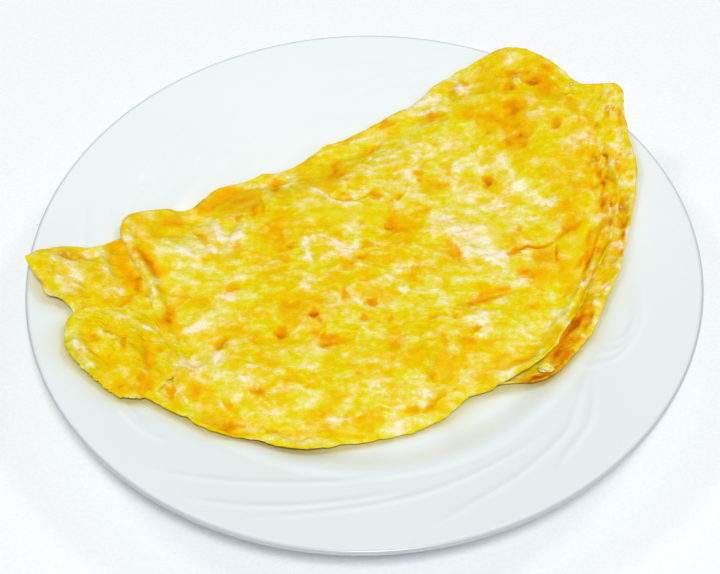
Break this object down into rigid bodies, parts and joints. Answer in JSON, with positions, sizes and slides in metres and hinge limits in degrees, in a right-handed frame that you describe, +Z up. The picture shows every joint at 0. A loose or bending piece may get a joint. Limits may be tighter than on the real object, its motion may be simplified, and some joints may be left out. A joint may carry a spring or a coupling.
{
  "type": "folded omelette on a plate",
  "caption": "Egg sheet cooked thin and folded over into an uneven half round with frilled open edges, lying across a round white glazed plate with a wide sloping rim.",
  "frame": {"origin": "centre of the plate on the surface it stands on, which is also the middle of the bounding box's bottom", "axes": "+Z up, out of the plate's well; +X along the omelette towards its wide end; +Y towards the folded edge"},
  "size_m": [0.23, 0.23, 0.03],
  "materials": {
    "porcelain": "smooth glossy white glaze with a faint cool tint and a low embossed swirl pattern on the rim",
    "egg": "cooked egg: bright yellow, moist and slightly oily, mottled with paler streaks and lightly browned orange patches and pits"
  },
  "bodies": {
    "root": {"plate": "porcelain", "omelette": "egg"}
  },
  "joints": []
}
